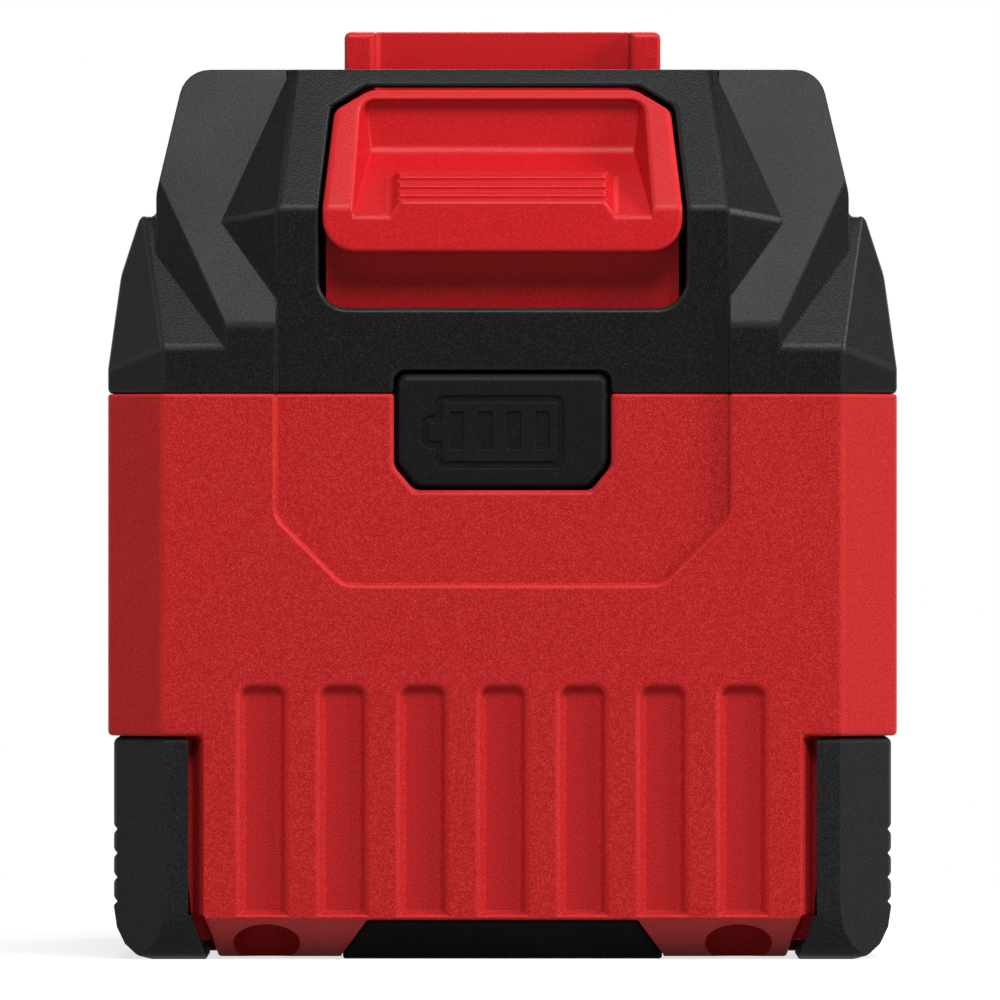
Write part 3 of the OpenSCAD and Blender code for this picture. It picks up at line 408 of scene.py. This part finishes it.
# width of the rounded edges on each piece that shows, and in boxes with a width of their own;
# the cuts split the wide faces through their openings, so that the rounding runs clean.
# cuts, drafts and boxes are in mm
bumperEdges = {"width": 0.6 * mm, "segments": 3, "cuts": []}
edges = {
    "lower_case": {
        "width": 0.5 * mm, "segments": 4,
        "cuts": [("x", 0), ("y", 0), ("z", 15), ("z", 34), ("z", 45)],
        # the flutes
        "draft": {"middles": [8.3 * step for step in range(-3, 4)], "half": 2.5, "floor": (62.1, 62.3),
                  "from": 4.6, "to": 28.5, "lean": 0.65, "taper": 0,
                  "round": 1.2, "top": 0.6, "foot": 0.45, "sink": (-0.25, -0.25)},
        # the rim, the base's front and rear edge, the gauge's opening, the front and the rear
        "own": [{"low": (-90, -90, 58.5), "high": (90, 90, 59), "width": 0.35 * mm},
                {"low": (-32, -63.5, 3.8), "high": (32, -60, 5.2), "width": 0.12 * mm},
                {"low": (-32, 60, 3.8), "high": (32, 63.5, 5.2), "width": 0.12 * mm},
                {"low": (-12, -64, 45.5), "high": (12, -50, 59), "width": 0.6 * mm},
                {"low": (-29, -64, 4.5), "high": (29, -61.5, 59), "width": 0.9 * mm},
                {"low": (-29, 61.5, 4.5), "high": (29, 64, 59), "width": 0.9 * mm}]},
    "upper_cover": {
        "width": 0.55 * mm, "segments": 3, "angle": 9,
        "cuts": [("x", 0), ("y", 0), ("y", 30), ("z", 75)]},
    "release_latch": {
        "width": 0.7 * mm, "segments": 4, "cuts": [("x", 0)],
        # the scoop
        "draft": {"middles": [0], "half": 15.6, "floor": (54, 55.4),
                  "from": 83.8, "to": 89.4, "lean": 1.6, "taper": 0.71,
                  "round": 1.5, "top": 0, "foot": 0, "sink": (0, 1)},
        "pinch": [{"low": (15.3, -62.1, 77), "high": (15.7, -61.2, 77.75), "to": (15.5, -62, 77.1)},
                  {"low": (-15.7, -62.1, 77), "high": (-15.3, -61.2, 77.75), "to": (-15.5, -62, 77.1)}],
        "runTurn": 25,
        # the scoop's back edge, its sides and grip lines, the frame's top, the hook's top
        "own": [{"low": (-14, -54.6, 83.6), "high": (14, -53.6, 84.6), "width": 1.1 * mm},
                {"low": (-16, -61.5, 76.5), "high": (16, -54, 89.5), "width": 0.42 * mm},
                {"low": (-18.9, -57, 88), "high": (18.9, -54, 91), "width": 0.3 * mm},
                {"low": (-13.6, -47.5, 96), "high": (13.6, -44.5, 97), "width": 0.2 * mm}]},
    "gauge_button": {
        "width": 0.9 * mm, "segments": 3, "cuts": [("z", 53.9)],
        # the battery sign
        "own": [{"low": (-8.6, -70, 49), "high": (8.6, 0, 60), "width": 0.07 * mm}]},
    # the base pad takes the darker black, whose darkness is partly painted shade
    "base_pad": {"width": 0.4 * mm, "segments": 3, "cuts": [("x", 0), ("y", 0)], "finish": "pad_black"},
    "bumper_front_right": bumperEdges,
    "bumper_front_left": bumperEdges,
    "bumper_rear_right": bumperEdges,
    "bumper_rear_left": bumperEdges,
}


def pieceName(node):
    first, *rest = node.split("_")
    return first + "".join(word.capitalize() for word in rest)


def alone(piece):
    bpy.ops.object.select_all(action="DESELECT")
    piece.select_set(True)
    bpy.context.view_layer.objects.active = piece


# a merged copy of a node, its flat faces joined up to the cuts
def mergedCopy(node, cuts):
    source = frame["nodes"][node]
    piece = bpy.data.objects.new(pieceName(node), source.data.copy())
    bpy.context.collection.objects.link(piece)
    alone(piece)
    bpy.ops.object.mode_set(mode="EDIT")
    bpy.ops.mesh.select_mode(type="EDGE")
    bpy.ops.mesh.select_all(action="SELECT")
    bpy.ops.mesh.remove_doubles(threshold=merging["weld"])
    for axis, place in cuts:
        normal = [float(axis == name) for name in "xyz"]
        bpy.ops.mesh.select_all(action="SELECT")
        bpy.ops.mesh.bisect(plane_co=[place * mm * part for part in normal], plane_no=normal,
                            threshold=merging["cut"])
        bpy.ops.mesh.mark_seam()
    bpy.ops.mesh.select_all(action="SELECT")
    bpy.ops.mesh.dissolve_limited(angle_limit=merging["flatAngle"], delimit={"SEAM"})
    bpy.ops.object.mode_set(mode="OBJECT")
    return piece


# leans the side walls of recesses in towards their floor, as they come out of a mould: by lean at the
# lower end and less by the taper at the upper one, with the floor's ends moved in by top and foot and
# the floor itself by sink
def draftWalls(piece, draft):
    half, lean, rounded = draft["half"], draft["lean"], draft["round"]
    low, high = draft["from"], draft["to"]
    nearest, deepest = draft["floor"]
    sinkFoot, sinkTop = draft["sink"]
    for corner in piece.data.vertices:
        place = corner.co / mm
        for middle in draft["middles"]:
            beside = place.x - middle
            if abs(beside) > half + draftMargin or not nearest < abs(place.y) < deepest:
                continue
            if low - draftMargin < place.z < high + draftMargin:
                climb = (place.z - low) / (high - low)
                leanHere = lean * (1 - draft["taper"] * climb)
                corner.co.x = (middle + beside * (1 - leanHere / half)) * mm
                near = max(place.z - high + rounded, 0) / rounded
                corner.co.z -= draft["top"] * near * mm
                if place.z < low + draftMargin:
                    corner.co.z += draft["foot"] * mm
                sink = sinkFoot + (sinkTop - sinkFoot) * climb
                corner.co.y -= math.copysign(sink, place.y) * mm


def insideBox(point, box):
    return all(low * mm <= value <= high * mm for value, low, high in zip(point, box["low"], box["high"]))


# draws the few points in a box together into one, where the rest of a rounding is too small to show
def pinchCorner(piece, box):
    for corner in piece.data.vertices:
        if insideBox(corner.co, box):
            corner.co = [value * mm for value in box["to"]]
    alone(piece)
    bpy.ops.object.mode_set(mode="EDIT")
    bpy.ops.mesh.select_all(action="SELECT")
    bpy.ops.mesh.remove_doubles(threshold=merging["weld"])
    bpy.ops.mesh.dissolve_degenerate(threshold=merging["weld"])
    bpy.ops.object.mode_set(mode="OBJECT")


# a strip of a rounded corner, whose long edges stay as they are
def isStrip(face):
    return face.calc_area() / max(edge.calc_length() for edge in face.edges) < rounding["strip"]


def isSharp(edge, look):
    if len(edge.link_faces) != 2:
        return False
    angle = math.degrees(edge.calc_face_angle(0))
    if angle > rounding["sharp"]:
        return True
    least = look.get("angle", rounding["sharp"])
    return angle > least and not any(isStrip(face) for face in edge.link_faces)


def wantedWidth(edge, look):
    for box in look.get("own", []):
        if all(insideBox(corner.co, box) for corner in edge.verts):
            return box["width"]
    return look["width"]


# the widest rounding that its neighbours in the same face leave room for;
# on a step, the outer edge takes more of the wall than the inner one
def roomBeside(edge, sharp):
    room = math.inf
    share = rounding["outerShare"] if edge.is_convex else rounding["innerShare"]
    for loop in edge.link_loops:
        ahead = (edge.other_vert(loop.vert).co - loop.vert.co).normalized()
        for beside, corner, along in ((loop.link_loop_prev.edge, loop.vert, ahead),
                                      (loop.link_loop_next.edge, loop.link_loop_next.vert, -ahead)):
            reach = beside.other_vert(corner).co - corner.co
            angle = along.angle(reach, math.pi / 2)
            if beside in sharp:
                turn = max(math.pi - angle, rounding["leastTurn"])
                shorter = min(reach.length, edge.calc_length())
                room = min(room, rounding["cornerShare"] * shorter / math.tan(turn / 2))
            else:
                room = min(room, share * reach.length * math.sin(angle))
    return room


# edges that run on into each other, which share one width
def edgeRuns(sharp, turn):
    left, runs = set(sharp), []
    while left:
        run = [left.pop()]
        for edge in run:
            for corner in edge.verts:
                along = corner.co - edge.other_vert(corner).co
                for beside in left.intersection(corner.link_edges):
                    ahead = beside.other_vert(corner).co - corner.co
                    if along.angle(ahead) < math.radians(turn):
                        left.remove(beside)
                        run.append(beside)
        runs.append(run)
    return runs


# painted highlight: marks the middle of the rounded outer edges, most where they face up to the light from
# above
def markPaintedEdgeHighlights(piece):
    mesh = bmesh.new()
    mesh.from_mesh(piece.data)
    rubbed = mesh.verts.layers.float.new("rubbed")
    mesh.normal_update()
    for corner in mesh.verts:
        if all(face.material_index == roundedSlot for face in corner.link_faces):
            rise = sum((edge.other_vert(corner).co - corner.co).normalized().dot(corner.normal)
                       for edge in corner.link_edges)
            if rise < 0:
                corner[rubbed] = highlightBase + (1 - highlightBase) * max(corner.normal.z, 0)
    for face in mesh.faces:
        face.material_index = 0
    mesh.to_mesh(piece.data)
    mesh.free()


def roundEdges(piece, look):
    widest = max([look["width"]] + [box["width"] for box in look.get("own", [])])
    mesh = bmesh.new()
    mesh.from_mesh(piece.data)
    weights = mesh.edges.layers.float.new("bevel_weight_edge")
    sharp = {edge for edge in mesh.edges if isSharp(edge, look)}
    for run in edgeRuns(sharp, look.get("runTurn", rounding["runTurn"])):
        width = min(min(wantedWidth(edge, look), roomBeside(edge, sharp)) for edge in run)
        for edge in run:
            edge[weights] = width / widest
    mesh.to_mesh(piece.data)
    mesh.free()
    while len(piece.data.materials) <= roundedSlot:
        piece.data.materials.append(None)
    alone(piece)
    bevel = piece.modifiers.new("roundEdges", "BEVEL")
    bevel.limit_method = "WEIGHT"
    bevel.width = widest
    bevel.segments = look["segments"]
    bevel.use_clamp_overlap = False
    bevel.material = roundedSlot
    bpy.ops.object.modifier_apply(modifier=bevel.name)
    # lays the painted edge highlights on the rounded faces
    markPaintedEdgeHighlights(piece)
    bpy.ops.object.shade_smooth_by_angle(angle=math.radians(rounding["smooth"]))
    flat = piece.modifiers.new("flatFaces", "WEIGHTED_NORMAL")
    flat.keep_sharp = True
    flat.weight = rounding["flatWeight"]
    bpy.ops.object.modifier_apply(modifier=flat.name)


def dress(piece, node, look):
    piece.data.materials.clear()
    piece.data.materials.append(finishes[look.get("finish", slotOf[node])])


for node, look in edges.items():
    piece = mergedCopy(node, look["cuts"])
    if "draft" in look:
        draftWalls(piece, look["draft"])
    for box in look.get("pinch", []):
        pinchCorner(piece, box)
    roundEdges(piece, look)
    dress(piece, node, look)
    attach(piece, bodyOf[node])
    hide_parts(node)
print("shell pieces rounded")

# the latch springs as one merged copy, dressed and baked in place
springs = mergedCopy("latch_springs", [])
dress(springs, "latch_springs", {})
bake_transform(springs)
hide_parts("latch_springs")

for node, piece in frame["nodes"].items():
    piece.data.materials.clear()
    piece.data.materials.append(finishes[slotOf[node]])
print("inner pieces dressed")
